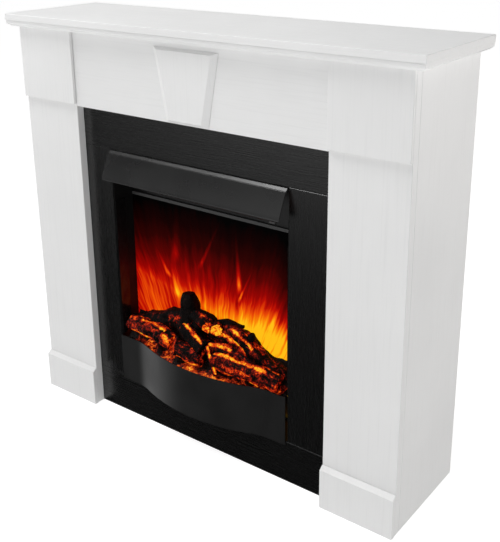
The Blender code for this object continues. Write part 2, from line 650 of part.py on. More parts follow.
# ---- Insert: flame effect -----------------------------------------------------------------------
def build_flame_effect(insert, steel, mirror, dark_plastic, board_green):
    inner = CASING_HALF - SHEET_T - GAP
    y, z = SPINDLE_Y, SPINDLE_Z

    # Spindle: four thin vanes twisted along a shaft, which throw moving light on the screen.
    shaft_r, vane_t, turns, steps = 0.0030, 0.0012, 1.5, 36
    left, right = -inner + 0.012, inner - 0.030
    section = []
    for k in range(4):
        a = k * math.pi / 2
        along, across = Vector((math.cos(a), math.sin(a))), Vector((-math.sin(a), math.cos(a)))
        section += [along * shaft_r - across * vane_t / 2, along * SPINDLE_R - across * vane_t / 2,
                    along * SPINDLE_R + across * vane_t / 2, along * shaft_r + across * vane_t / 2]
    shaft = [Vector(p) for p in circle(shaft_r * 0.9, len(section), -0.4)]

    def ring(points, at, angle=0.0):
        cos, sin = math.cos(angle), math.sin(angle)
        return [(at, y + p.x * cos - p.y * sin, z + p.x * sin + p.y * cos) for p in points]

    rings = [ring(shaft, left - 0.0075), ring(shaft, left)]
    for i in range(steps + 1):
        t = i / steps
        rings.append(ring(section, left + 0.0005 + t * (right - left - 0.001), 2 * math.pi * turns * t))
    rings += [ring(shaft, right, 2 * math.pi * turns), ring(shaft, right + 0.0035, 2 * math.pi * turns)]
    loft("flame_spindle", rings, mirror, insert, (0.0, y, z))

    motor = [(0.0, 0.010), (0.002, 0.022), (0.020, 0.022), (0.022, 0.018)]
    turned("spindle_motor", "X", (right + 0.0040, y, z), motor, dark_plastic, insert, sides=28)

    floor = FIRE_BOTTOM - GAP + SHEET_T + GAP
    bracket = board("spindle_bracket", (left - 0.0060, left - 0.0042), (y - 0.012, y + 0.012),
                    (floor, z + 0.012), steel, insert)
    hole = bmesh.new()
    bmesh.ops.create_cone(
        hole, cap_ends=True, segments=24, radius1=0.0034, radius2=0.0034, depth=0.02,
        matrix=Matrix.Translation((left - 0.0051, y, z)) @ Matrix.Rotation(math.pi / 2, 4, "Y"),
    )
    cut_with(bracket, hole, "spindle_bore")

    # Curved reflector behind the spindle, and the two light strips on their mounting bars.
    path = arc((y, z + 0.006), 0.046, 62, -40, 13)
    span = (left + 0.004, right - 0.004)
    prism("flame_reflector", sheet_outline(path, -0.001), "X", span, mirror, insert, smooth=40)
    for name, bar_y, x0 in (("flame_led_strip", 0.094, 0.205), ("ember_led_strip", 0.040, 0.195)):
        outline = toothed_outline((-x0, x0), 20, floor + 0.004, 0.004, 0.3)
        prism(name, outline, "Y", (bar_y - 0.006, bar_y + 0.006), board_green, insert)

    terminals = toothed_outline((0.120, 0.180), 6, floor + 0.009, 0.009, 0.7)
    prism("terminal_block", terminals, "Y", (0.176, 0.194), dark_plastic, insert)


# ---- The whole fireplace ------------------------------------------------------------------------
def main():
    clear_scene()
    mantel = make_frame("mantel", 0.0)
    insert = make_frame("insert", INSERT_X)

    white_paint = make_material("white_paint", (0.83, 0.83, 0.82), 0.42)
    raw_board = make_material("raw_board", (0.46, 0.33, 0.21), 0.85)
    black_foil = make_material("black_foil", (0.022, 0.022, 0.023), 0.55)
    zinc = make_material("zinc", (0.62, 0.63, 0.65), 0.38, 1.0)
    black_steel = make_material("black_steel", (0.020, 0.020, 0.021), 0.50, 0.2)
    satin_black = make_material("satin_black", (0.035, 0.035, 0.037), 0.40, 0.1)
    gloss_black = make_material("gloss_black", (0.008, 0.008, 0.009), 0.12)
    flame_acrylic = make_material("flame_acrylic", (0.30, 0.045, 0.012), 0.25)
    log_resin = make_material("log_resin", (0.10, 0.045, 0.025), 0.75)
    switch_plastic = make_material("switch_plastic", (0.60, 0.60, 0.60), 0.35)
    black_plastic = make_material("black_plastic", (0.03, 0.03, 0.03), 0.50)
    circuit_board = make_material("circuit_board", (0.05, 0.22, 0.10), 0.45)
    alloy = make_material("alloy", (0.70, 0.71, 0.73), 0.35, 1.0)
    element_core = make_material("element_core", (0.55, 0.52, 0.48), 0.60, 0.6)
    rubber = make_material("rubber", (0.02, 0.02, 0.02), 0.80)

    build_shelf(mantel, white_paint)
    build_body(mantel, white_paint)
    build_keystone(mantel, white_paint)
    build_carcass(mantel, raw_board)
    build_brackets(mantel, zinc)
    build_fascia(mantel, black_foil)
    build_casing(insert, black_steel, rubber)
    build_firebox(insert, gloss_black, flame_acrylic, satin_black)
    build_apron(insert, satin_black)
    build_logs(insert, log_resin)
    build_hood(insert, satin_black)
    build_controls(insert, satin_black, switch_plastic, circuit_board)
    build_heater(insert, satin_black, black_steel, alloy, black_plastic, element_core)
    build_flame_effect(insert, black_steel, alloy, black_plastic, circuit_board)


main()
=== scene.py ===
"""Looks of the electric fireplace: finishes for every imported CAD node, the moulded logs, the flame picture,
the screws, and the studio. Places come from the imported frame; lengths are in metres unless they use MM."""

import json
import math

import bmesh
import bpy
from mathutils import Matrix, Vector, noise


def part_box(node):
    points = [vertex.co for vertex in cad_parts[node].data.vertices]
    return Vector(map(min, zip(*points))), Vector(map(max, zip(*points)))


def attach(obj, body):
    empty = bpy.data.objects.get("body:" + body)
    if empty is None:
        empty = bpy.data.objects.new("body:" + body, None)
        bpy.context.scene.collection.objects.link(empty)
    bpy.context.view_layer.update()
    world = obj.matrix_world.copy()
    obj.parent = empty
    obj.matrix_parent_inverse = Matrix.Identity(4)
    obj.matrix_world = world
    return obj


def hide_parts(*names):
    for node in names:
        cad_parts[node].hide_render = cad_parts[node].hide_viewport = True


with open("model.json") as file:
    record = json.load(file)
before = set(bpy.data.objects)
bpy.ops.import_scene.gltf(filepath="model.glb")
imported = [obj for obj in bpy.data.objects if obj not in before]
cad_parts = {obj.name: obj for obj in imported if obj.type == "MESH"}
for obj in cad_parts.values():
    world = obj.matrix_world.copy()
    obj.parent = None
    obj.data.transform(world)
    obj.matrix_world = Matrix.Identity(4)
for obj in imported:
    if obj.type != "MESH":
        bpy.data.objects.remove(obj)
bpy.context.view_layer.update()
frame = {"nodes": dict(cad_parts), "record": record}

MM = 0.001
NODES = frame["nodes"]
SLOT_OF = {part["node"]: part["material_slot"] for part in frame["record"]["subparts"]}

# ---------------------------------------------------------------- studio
CAMERA_PLACE = (1.1191, -1.3890, 1.1655)
CAMERA_YAW = math.radians(37.398)       # turned left of straight ahead
CAMERA_PITCH = math.radians(18.4725)    # tipped down
CAMERA_ROLL = math.radians(-0.630)
CAMERA_LENS = 58.0
CAMERA_SHIFT = (0.0043, -0.138)
FLOOR_HALF = 30.0
KEY_POWER, FILL_POWER, TOP_POWER = 17.0, 34.0, 70.0
SKY = ((-0.06, 0.0), (0.06, 0.26), (1.0, 0.26))         # (sine of elevation, light) all round
FRONT_WINDOW = ((-0.36, 0.0), (-0.30, 0.15), (-0.22, 0.85), (-0.04, 0.85), (0.06, 0.40),
                (0.45, 0.32), (0.62, 0.14), (0.75, 0.0))
LEFT_SWEEP = ((-0.80, 0.0), (-0.60, 0.9), (-0.15, 0.9), (-0.05, 0.0))
LEFT_FLAG = ((0.10, 0.0), (0.22, 0.20), (0.32, 0.26), (0.52, 0.26), (0.60, 0.0))
HIGH_WINDOW = ((0.60, 0.0), (0.68, 0.36), (0.84, 0.36), (0.92, 0.0))
WINDOWS = (                             # (azimuth, cosines where it starts and is full, how, light)
    (-8, (0.80, 0.90), "ADD", FRONT_WINDOW),
    (-92, (0.86, 0.96), "ADD", LEFT_SWEEP),
    (-60, (0.88, 0.975), "SUBTRACT", LEFT_FLAG),        # a black flag that the hood's slope mirrors
    (-66, (0.80, 0.92), "ADD", HIGH_WINDOW),            # what the hem along the hood's top mirrors
)

# ---------------------------------------------------------------- the fire
FLAME_TOP = 0.362                       # above the screen's foot, where the picture is black
FLAME_FADE = 0.250                      # from there down to its brightest
LOG_SIDES = 40
LOG_STEP = 3.0 * MM
EMBER_STEP = 3.5 * MM


class Finish:
    """One procedural material: a Principled shader, and short calls that add the nodes feeding it."""

    def __init__(self, name, **sockets):
        self.material = bpy.data.materials.new(name)
        self.material.use_nodes = True
        self.tree = self.material.node_tree
        self.shader = next(n for n in self.tree.nodes if n.type == "BSDF_PRINCIPLED")
        self.where = self.node("ShaderNodeTexCoord").outputs["Object"]
        for socket, value in sockets.items():
            self.feed(socket.replace("_", " "), value)

    def node(self, kind, values=None, **settings):
        made = self.tree.nodes.new(kind)
        for key, value in settings.items():
            setattr(made, key, value)
        for key, value in (values or {}).items():
            self.plug(made.inputs[key], value)
        return made

    def plug(self, socket, value):
        if isinstance(value, bpy.types.NodeSocket):
            self.tree.links.new(value, socket)
        elif hasattr(value, "__len__") and socket.type == "RGBA":
            socket.default_value = (*value, 1.0)
        else:
            socket.default_value = value

    def feed(self, socket, value):
        """Set or link one socket of the shader itself."""
        self.plug(self.shader.inputs[socket], value)

    def place(self, scale=(1.0, 1.0, 1.0)):
        """The point on the object, stretched by scale."""
        return self.node("ShaderNodeMapping", {"Vector": self.where, "Scale": scale}).outputs["Vector"]

    def noise(self, scale, detail=4.0, rough=0.5, at=None, bend=0.0):
        values = {"Vector": at or self.where, "Scale": scale, "Detail": detail,
                  "Roughness": rough, "Distortion": bend}
        return self.node("ShaderNodeTexNoise", values).outputs["Fac"]

    def cells(self, scale, at=None, feature="F1", output="Distance"):
        values = {"Vector": at or self.where, "Scale": scale}
        return self.node("ShaderNodeTexVoronoi", values, feature=feature).outputs[output]

    def grain(self, along, across_scale, along_scale, detail=5.0, bend=0.0):
        """Noise drawn out along one axis of the object."""
        scale = [across_scale] * 3
        scale["xyz".index(along)] = along_scale
        return self.noise(1.0, detail, 0.6, self.place(scale), bend)

    def ramp(self, factor, *stops):
        made = self.node("ShaderNodeValToRGB", {"Fac": factor})
        elements = made.color_ramp.elements
        elements.remove(elements[1])
        elements[0].position = stops[0][0]
        elements[0].color = (*stops[0][1], 1.0)
        for position, color in stops[1:]:
            elements.new(position).color = (*color, 1.0)
        return made.outputs["Color"]

    def level(self, factor, low, high, to_low=0.0, to_high=1.0):
        """factor between low and high, mapped to to_low..to_high and kept inside."""
        values = {"Value": factor, "From Min": low, "From Max": high, "To Min": to_low, "To Max": to_high}
        return self.node("ShaderNodeMapRange", values).outputs["Result"]

    def math(self, operation, first, second=0.0, third=0.0):
        return self.node("ShaderNodeMath", {0: first, 1: second, 2: third}, operation=operation).outputs[0]

    def mix(self, factor, first, second, how="MIX"):
        made = self.node("ShaderNodeMix", data_type="RGBA", blend_type=how)
        self.plug(made.inputs["Factor"], factor)
        self.plug(made.inputs[6], first)
        self.plug(made.inputs[7], second)
        return made.outputs[2]

    def bump(self, *layers):
        """Each layer is (height, depth in metres); they add up, the coarsest first."""
        normal = None
        for height, depth in layers:
            values = {"Height": height, "Distance": depth, "Strength": 1.0}
            if normal:
                values["Normal"] = normal
            normal = self.node("ShaderNodeBump", values).outputs["Normal"]
        self.feed("Normal", normal)
        return normal


def grey(value):
    return (value, value, value)


# ---------------------------------------------------------------- finishes of the surround
def white_lacquer(along):
    """Sprayed white foil board: a faint drawn grain, a little orange peel, a satin gloss."""
    f = Finish("white_lacquer_" + along)
    drawn = f.grain(along, 620.0, 18.0)
    pressed = f.grain(along, 230.0, 6.0, 3.0)
    cloud = f.noise(5.0, 3.0)
    tone = f.mix(f.level(cloud, 0.3, 0.7), (0.835, 0.835, 0.832), (0.80, 0.80, 0.797))
    f.feed("Base Color", f.mix(f.level(pressed, 0.50, 0.75, 0.0, 0.35), tone, (0.73, 0.73, 0.728)))
    f.feed("Roughness", f.level(f.noise(90.0, 3.0), 0.3, 0.7, 0.30, 0.42))
    f.bump((f.noise(260.0, 2.0), 0.05 * MM), (pressed, 0.16 * MM), (drawn, 0.11 * MM))
    return f.material


def raw_board():
    """Bare particle board: pressed chips of several browns, a rough face."""
    f = Finish("raw_particle_board", Roughness=0.85)
    chips = f.cells(260.0, f.place((1.0, 1.0, 0.45)), output="Color")
    tone = f.node("ShaderNodeSeparateColor", {"Color": chips}).outputs["Red"]
    chip_color = f.ramp(tone, (0.0, (0.30, 0.19, 0.10)), (0.5, (0.46, 0.32, 0.19)),
                        (1.0, (0.60, 0.46, 0.29)))
    fibre = f.noise(1500.0, 3.0)
    f.feed("Base Color", f.mix(f.level(fibre, 0.35, 0.7, 0.0, 0.45), chip_color, (0.24, 0.15, 0.08)))
    f.bump((tone, 0.12 * MM), (fibre, 0.10 * MM))
    return f.material


def black_foil(along):
    """Black ash foil on the inner frame: long pores along the board."""
    f = Finish("black_ash_foil_" + along, Specular_IOR_Level=1.0)
    pores = f.grain(along, 850.0, 16.0, 6.0)
    figure = f.grain(along, 95.0, 5.0, 4.0, 0.6)
    deep = f.level(pores, 0.42, 0.62)
    shade = f.mix(f.level(figure, 0.35, 0.65), grey(0.0022), grey(0.0034))
    f.feed("Base Color", f.mix(deep, shade, grey(0.0052)))
    f.feed("Roughness", f.level(pores, 0.35, 0.65, 0.30, 0.22))
    f.bump((figure, 0.03 * MM), (deep, 0.035 * MM))
    return f.material


# ---------------------------------------------------------------- finishes of the insert
def powder_coat(name, shade, rough_low, rough_high, texture=0.05, specular=0.8):
    """Black powder coat: fine orange peel over steel, a little uneven in gloss. texture is in mm."""
    f = Finish(name, Specular_IOR_Level=specular)
    peel = f.noise(950.0, 2.0)
    cloud = f.noise(14.0, 3.0)
    f.feed("Base Color", f.mix(cloud, grey(shade * 0.85), grey(shade * 1.15)))
    f.feed("Roughness", f.level(cloud, 0.3, 0.7, rough_low, rough_high))
    f.bump((f.noise(220.0, 2.0), 0.04 * MM), (peel, texture * MM))
    return f.material


def zinc_plate(name="zinc_plate", shade=0.52, spangle=170.0):
    """Zinc-plated or galvanised steel, with its crystal spangle."""
    f = Finish(name, Metallic=1.0)
    tone = f.node("ShaderNodeSeparateColor", {"Color": f.cells(spangle, output="Color")}).outputs["Green"]
    scratches = f.grain("x", 1400.0, 60.0)
    dull, bright = (shade * 0.82, shade * 0.83, shade * 0.85), (shade, shade, shade * 0.99)
    f.feed("Base Color", f.mix(tone, dull, bright))
    f.feed("Roughness", f.math("MULTIPLY_ADD", scratches, 0.18, f.level(tone, 0.0, 1.0, 0.24, 0.40)))
    f.bump((tone, 0.02 * MM), (scratches, 0.03 * MM))
    return f.material


def gloss_black():
    """Polished black sheet that mirrors the fire, with a light dust."""
    f = Finish("gloss_black_liner", Specular_IOR_Level=0.35)
    dust = f.noise(120.0, 6.0, 0.7)
    f.feed("Base Color", f.mix(f.level(dust, 0.5, 0.8), grey(0.004), grey(0.016)))
    f.feed("Roughness", f.level(dust, 0.4, 0.8, 0.10, 0.30))
    f.bump((f.noise(35.0, 2.0), 0.10 * MM))
    return f.material


def rubber():
    f = Finish("black_rubber")
    skin = f.noise(1400.0, 4.0)
    f.feed("Base Color", f.mix(skin, grey(0.012), grey(0.030)))
    f.feed("Roughness", f.level(skin, 0.3, 0.7, 0.62, 0.80))
    f.bump((skin, 0.05 * MM))
    return f.material


def moulded_plastic(name, shade, rough):
    """Spark-eroded moulded plastic, with its fine matt texture."""
    f = Finish(name)
    skin = f.cells(2200.0)
    flow = f.noise(60.0, 3.0)
    f.feed("Base Color", f.mix(flow, grey(shade * 0.85), grey(shade * 1.15)))
    f.feed("Roughness", f.level(skin, 0.0, 0.7, rough - 0.07, rough + 0.07))
    f.bump((skin, 0.03 * MM))
    return f.material


def circuit_board():
    """Green solder mask over copper tracks, with tinned pads in rows."""
    f = Finish("circuit_board")
    track_grid = f.node("ShaderNodeTexBrick", {
        "Vector": f.where, "Scale": 160.0, "Mortar Size": 0.03}).outputs["Fac"]
    pads = f.level(f.cells(330.0), 0.16, 0.20, 1.0, 0.0)
    mask = f.mix(track_grid, (0.006, 0.060, 0.022), (0.016, 0.125, 0.050))
    f.feed("Base Color", f.mix(pads, mask, (0.62, 0.61, 0.58)))
    f.feed("Metallic", pads)
    f.feed("Roughness", f.level(pads, 0.0, 1.0, 0.28, 0.36))
    f.bump((track_grid, 0.05 * MM), (pads, 0.15 * MM))
    return f.material


def bright_alloy():
    """Rolled aluminium: fine lines along the sheet and soft smudges."""
    f = Finish("bright_alloy", Metallic=1.0)
    lines = f.grain("x", 1600.0, 20.0)
    smudge = f.noise(30.0, 4.0)
    f.feed("Base Color", f.mix(smudge, (0.70, 0.71, 0.73), (0.84, 0.84, 0.84)))
    f.feed("Roughness", f.math("MULTIPLY_ADD", lines, 0.20, f.level(smudge, 0.3, 0.7, 0.14, 0.26)))
    f.bump((lines, 0.03 * MM))
    return f.material


def element_core():
    """Heater honeycomb: pale oxide fins, straw and blue where they've run hot."""
    f = Finish("heating_element", Metallic=0.7)
    heat = f.noise(26.0, 3.0)
    tone = f.ramp(heat, (0.30, (0.42, 0.40, 0.37)), (0.50, (0.40, 0.29, 0.15)),
                  (0.62, (0.22, 0.16, 0.22)), (0.78, (0.30, 0.32, 0.38)))
    fins = f.grain("z", 1200.0, 30.0)
    f.feed("Base Color", tone)
    f.feed("Roughness", f.level(fins, 0.3, 0.7, 0.35, 0.55))
    f.bump((fins, 0.08 * MM))
    return f.material


# ---------------------------------------------------------------- flame picture
def wisp(f, x, z, foot, tip, width):
    """One thin tongue on the flame picture, from its foot to its tip: wide and bright low down."""
    rise = f.math("DIVIDE", f.math("SUBTRACT", z, foot[1]), tip[1] - foot[1])
    middle = f.math("MULTIPLY_ADD", rise, tip[0] - foot[0], foot[0])
    narrow = f.math("MAXIMUM", f.math("MULTIPLY_ADD", rise, -0.7 * width, width), 0.15 * width)
    across = f.math("DIVIDE", f.math("ABSOLUTE", f.math("SUBTRACT", x, middle)), narrow)
    body = f.level(across, 0.25, 1.0, 1.0, 0.0)
    start = f.level(rise, -0.06, 0.10)
    fade = f.level(rise, 0.15, 1.0, 1.0, 0.0)
    return f.math("MULTIPLY", body, f.math("MULTIPLY", start, fade))


FLAME_COLORS = (
    (0.02, (0.0, 0.0, 0.0)),
    (0.20, (0.007, 0.0, 0.0)),
    (0.36, (0.026, 0.0003, 0.0001)),
    (0.52, (0.102, 0.0004, 0.0002)),
    (0.68, (0.305, 0.0010, 0.0003)),
    (0.76, (0.540, 0.0060, 0.0006)),
    (0.84, (0.830, 0.0700, 0.0015)),
    (0.92, (0.965, 0.2400, 0.0020)),
    (1.04, (1.000, 0.5200, 0.0080)),
)


def flame_picture():
    """The picture thrown on the back screen: tall red streaks that fan out, yellow near the logs."""
    low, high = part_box("flame_screen")
    half = (high.x - low.x) / 2
    mid = (low.x + high.x) / 2
    f = Finish("flame_screen", Roughness=0.35)
    f.feed("Specular IOR Level", 0.02)
    f.feed("Base Color", grey(0.001))
    split = f.node("ShaderNodeSeparateXYZ", {"Vector": f.where}).outputs
    x = f.math("DIVIDE", f.math("SUBTRACT", split["X"], mid), half)      # -1 left wall to 1 right wall
    z = f.math("SUBTRACT", split["Z"], low.z)                            # above the screen's foot

    def streaks(seed, wide, tall, lean):
        """Noise over fanned lines: wide is how many per half screen, tall how fast they change upward."""
        reach = f.math("ADD", z, 0.34)
        fan = f.math("DIVIDE", f.math("MULTIPLY", x, 0.45), reach)
        wander = f.math("MULTIPLY", f.noise(7.0 + seed, 2.0), lean)
        spot = f.node("ShaderNodeCombineXYZ", {
            "X": f.math("MULTIPLY", f.math("ADD", fan, wander), wide),
            "Y": f.math("MULTIPLY", z, tall), "Z": seed}).outputs["Vector"]
        return f.noise(1.0, 3.0, 0.5, spot)

    coarse = streaks(1.7, 8.0, 4.0, 0.20)
    middle = streaks(4.2, 22.0, 6.0, 0.14)
    fine = streaks(8.9, 55.0, 9.0, 0.10)
    heat = f.level(z, FLAME_TOP - FLAME_FADE, FLAME_TOP, 1.0, 0.0)
    heat = f.math("MINIMUM", heat, f.level(x, -0.95, 0.25, 0.76, 0.99))
    heat = f.math("ADD", heat, f.level(x, -1.0, -0.70, -0.05, 0.0))
    cool_edge = f.math("MULTIPLY", f.level(x, 0.70, 0.86, 0.0, -0.15), f.level(z, 0.105, 0.145))
    heat = f.math("ADD", heat, cool_edge)
    alive = f.level(z, 0.10, 0.30, 1.25, 0.45)
    flicker = f.math("MULTIPLY", f.math("SUBTRACT", coarse, 0.5), 0.36)
    flicker = f.math("MULTIPLY_ADD", f.math("SUBTRACT", middle, 0.5), 0.34, flicker)
    flicker = f.math("MULTIPLY_ADD", f.math("SUBTRACT", fine, 0.5), 0.20, flicker)
    heat = f.math("MULTIPLY_ADD", flicker, alive, heat)
    # Foot and tip of each tongue: across the screen from -1 to 1, and metres above its foot.
    for foot, tip, width, strength in (
            ((-0.465, 0.226), (-0.430, 0.380), 0.078, 0.17),
            ((-0.555, 0.180), (-0.735, 0.250), 0.046, 0.20),
            ((-0.450, 0.136), (-0.530, 0.205), 0.055, 0.14),
            ((-0.163, 0.226), (0.120, 0.360), 0.032, 0.20),
            ((0.300, 0.195), (0.262, 0.350), 0.044, 0.30),
            ((0.290, 0.172), (0.465, 0.260), 0.022, 0.22),
            ((0.640, 0.130), (0.800, 0.215), 0.040, 0.12)):
        heat = f.math("MULTIPLY_ADD", wisp(f, x, z, foot, tip, width), strength, heat)
    f.feed("Emission Color", f.ramp(heat, *FLAME_COLORS))
    f.feed("Emission Strength", 1.0)
    return f.material


# ---------------------------------------------------------------- logs
def charred_log():
    """Moulded resin log: black char with bark ridges, lit from inside where the paint is thin (the
    "inner_glow" attribute), so cracks run from dull red to yellow."""
    f = Finish("charred_log", Roughness=0.62)
    heat = f.node("ShaderNodeAttribute", attribute_name="inner_glow").outputs["Fac"]
    rub = f.noise(70.0, 5.0, 0.62, bend=0.5)
    speck = f.noise(330.0, 4.0, 0.65)
    wander = f.node("ShaderNodeVectorMath", {0: f.node("ShaderNodeTexNoise", {
        "Vector": f.where, "Scale": 60.0}).outputs["Color"], 3: 0.02}, operation="SCALE").outputs[0]
    bent = f.node("ShaderNodeVectorMath", {0: f.where, 1: wander}, operation="ADD").outputs[0]
    vein = f.level(f.cells(85.0, bent, "DISTANCE_TO_EDGE"), 0.0, 0.09, 1.0, 0.0)
    glow = f.math("MULTIPLY_ADD", f.math("SUBTRACT", rub, 0.5), 1.55, heat)
    glow = f.math("MULTIPLY_ADD", f.math("SUBTRACT", speck, 0.5), 0.62, glow)
    glow = f.math("MULTIPLY_ADD", vein, -0.22, glow)
    color = f.ramp(glow, (0.28, (0.0, 0.0, 0.0)), (0.40, (0.040, 0.0012, 0.0004)),
                   (0.54, (0.22, 0.006, 0.001)), (0.68, (0.68, 0.035, 0.002)),
                   (0.80, (0.95, 0.16, 0.004)), (0.97, (1.0, 0.55, 0.018)))
    f.feed("Emission Color", color)
    f.feed("Emission Strength", 1.0)
    bark = f.ramp(rub, (0.35, (0.0012, 0.0010, 0.0010)), (0.55, (0.0045, 0.0028, 0.0024)),
                  (0.72, (0.012, 0.0065, 0.0050)))
    f.feed("Base Color", bark)
    f.feed("Specular IOR Level", 0.06)
    f.bump((rub, 1.2 * MM), (speck, 0.5 * MM))
    return f.material


def ember_bed_finish():
    """Ash and embers under the logs: dark lumps, glowing where "inner_glow" is high."""
    f = Finish("ember_bed", Roughness=0.8, Specular_IOR_Level=0.1)
    heat = f.node("ShaderNodeAttribute", attribute_name="inner_glow").outputs["Fac"]
    lumps = f.noise(95.0, 3.0, 0.55, bend=0.8)
    ash = f.noise(260.0, 5.0, 0.65)
    glow = f.math("MULTIPLY_ADD", heat, 0.6, 0.10)
    glow = f.math("MULTIPLY_ADD", f.math("SUBTRACT", lumps, 0.5), 1.5, glow)
    glow = f.math("MULTIPLY_ADD", f.math("SUBTRACT", ash, 0.5), 0.6, glow)
    glow = f.math("SUBTRACT", glow, f.level(heat, 0.0, 0.2, 1.0, 0.0))
    f.feed("Emission Color", f.ramp(glow, (0.16, (0.0, 0.0, 0.0)), (0.34, (0.10, 0.004, 0.001)),
                                    (0.52, (0.52, 0.040, 0.004)), (0.70, (0.95, 0.25, 0.012)),
                                    (0.92, (1.0, 0.58, 0.08))))
    f.feed("Emission Strength", 1.0)
    f.feed("Base Color", f.ramp(ash, (0.35, (0.003, 0.002, 0.002)), (0.70, (0.030, 0.022, 0.020))))
    f.bump((lumps, 1.5 * MM), (ash, 0.6 * MM))
    return f.material


def make_piece(name, verts, faces, material, body="fireplace", smooth=True, heat=None):
    """A new visual piece, its points in the row frame, riding on one body."""
    mesh = bpy.data.meshes.new(name)
    mesh.from_pydata([tuple(v) for v in verts], [], faces)
    mesh.polygons.foreach_set("use_smooth", [smooth] * len(faces))
    if heat:
        mesh.attributes.new("inner_glow", "FLOAT", "POINT").data.foreach_set("value", heat)
    mesh.materials.append(material)
    mesh.update()
    piece = bpy.data.objects.new(name, mesh)
    bpy.context.scene.collection.objects.link(piece)
    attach(piece, body)
    return piece


def tube_faces(rings, sides):
    """Faces that join rings of equal length, in order, and close both ends."""
    faces = [(r * sides + k, r * sides + (k + 1) % sides,
              (r + 1) * sides + (k + 1) % sides, (r + 1) * sides + k)
             for r in range(rings - 1) for k in range(sides)]
    faces.append(tuple(reversed(range(sides))))
    faces.append(tuple((rings - 1) * sides + k for k in range(sides)))
    return faces


def outward(verts, faces):
    """The faces of a closed mesh, turned round if they face inward."""
    volume = sum(Vector(verts[face[0]]).dot(Vector(verts[a]).cross(Vector(verts[b])))
                 for face in faces for a, b in zip(face[1:], face[2:]))
    return faces if volume > 0 else [tuple(reversed(face)) for face in faces]


def curve_point(points, t):
    """Catmull-Rom through points, t from 0 to 1. Works on any tuples of numbers."""
    spans = len(points) - 1
    span = min(int(t * spans), spans - 1)
    u = t * spans - span
    before, a, b, after = (Vector(points[max(0, min(spans, span + k))]) for k in (-1, 0, 1, 2))
    return 0.5 * (2 * a + (b - before) * u + (2 * before - 5 * a + 4 * b - after) * u * u
                  + (3 * a - before - 3 * b + after) * u ** 3)


def hot_patch(t, angle, patch):
    """How strongly one glowing patch lights a point of a log. A patch is (from, to, angle, spread, heat):
    from and to along the log, its angle round it in degrees (0 front, 90 top) and half its spread."""
    start, end, middle, spread, heat = patch
    soft = 0.05
    along = min((t - start) / soft, (end - t) / soft, 1.0)
    off = abs((angle - middle + 180) % 360 - 180) / spread
    return max(0.0, along) * max(0.0, 1.0 - off ** 2) * heat


def make_log(name, points, seed, patches=(), lumps=0.16, ends=(0.0, 0.0), squash=1.0, body=0.0):
    """A log lofted along points of (x, y, z, radius), in mm from the middle, back and floor of the
    CAD log set. ends are the heats of its two cut ends and body is the dull heat of its bark."""
    low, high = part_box("log_set")
    origin = Vector(((low.x + high.x) / 2, high.y, low.z))
    length = sum((Vector(b[:3]) - Vector(a[:3])).length for a, b in zip(points, points[1:])) * MM
    rings = max(8, int(length / LOG_STEP))
    shift = Vector((seed * 7.31, seed * 3.17, seed * 1.73))
    verts, heats = [], []

    def ring(t, shrink, heat):
        here = curve_point(points, t)
        nearby = curve_point(points, min(1.0, t + 0.01)) - curve_point(points, max(0.0, t - 0.01))
        along = Vector(nearby[:3]).normalized()
        front = Vector((0, -1, 0)) - along * along.dot(Vector((0, -1, 0)))
        if front.length < 0.2:
            front = Vector((1, 0, 0)) - along * along.x
        front.normalize()
        up = along.cross(front)
        if up.z < 0:
            up = -up
        radius = here[3] * MM
        centre = origin + Vector(here[:3]) * MM
        for k in range(LOG_SIDES):
            angle = 360.0 * k / LOG_SIDES
            turn = math.radians(angle)
            out = front * math.cos(turn) + up * math.sin(turn) * squash
            lump, ridge, knob = (
                noise.noise(shift + Vector((t * length * along_scale, math.cos(turn) * round_scale,
                                            math.sin(turn) * round_scale)))
                for along_scale, round_scale in ((32, 1.1), (22, 5.0), (90, 3.0)))
            swell = 1 + lumps * (1.3 * lump + 0.75 * ridge + 0.45 * knob)
            vert = centre + out * radius * swell * shrink
            vert.y = max(vert.y, low.y + 1 * MM)              # the apron stands in front
            verts.append(vert)
            glow = max([hot_patch(t, angle, p) for p in patches] + [body * (1 - 0.9 * max(0.0, -lump))])
            heats.append(max(glow - 0.4 * max(0.0, ridge), heat))

    cap_steps = ((0.0, 0.15), (0.0, 0.55), (0.0, 0.88))
    for t, shrink in cap_steps:
        ring(t, shrink, ends[0])
    for k in range(rings + 1):
        ring(k / rings, 1.0, 0.0)
    for t, shrink in reversed(cap_steps):
        ring(1.0, shrink, ends[1])
    faces = outward(verts, tube_faces(len(verts) // LOG_SIDES, LOG_SIDES))
    return make_piece(name, verts, faces, charred, heat=heats)


def make_ember_bed():
    """A lumpy tray of embers between the apron and the screen, under the logs."""
    low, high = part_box("log_set")
    wide, deep = high.x - low.x, high.y - low.y
    columns, rows = int(wide / EMBER_STEP), int(deep / EMBER_STEP)
    verts, heats = [], []
    for r in range(rows + 1):
        for c in range(columns + 1):
            u, v = c / columns, r / rows
            arch = 1 - min(1.0, abs(u - 0.5) / 0.40) ** 2.4       # the front edge follows the bowed apron
            front = low.y + (1 - arch) * 0.040
            x = low.x + u * wide
            y = front + v * (high.y - front)
            spot = Vector((x, y, 0))
            lump = noise.noise(spot * 55) * 5 + noise.noise(spot * 150) * 3
            verts.append(Vector((x, y, low.z + (7 + 52 * v ** 1.6 + lump) * MM)))
            edge = min(u, 1 - u) > 0.03
            heats.append((0.5 + 0.6 * noise.noise(spot * 28 + Vector((5, 5, 5))) - 0.9 * v) * edge)
    stride = columns + 1
    faces = [(r * stride + c, r * stride + c + 1, (r + 1) * stride + c + 1, (r + 1) * stride + c)
             for r in range(rows) for c in range(columns)]
    bed = make_piece("ember_bed", verts, faces, ember_bed_finish(), heat=heats)
    thick = bed.modifiers.new("thickness", "SOLIDIFY")
    thick.thickness = 2 * MM
    thick.offset = -1
    return bed


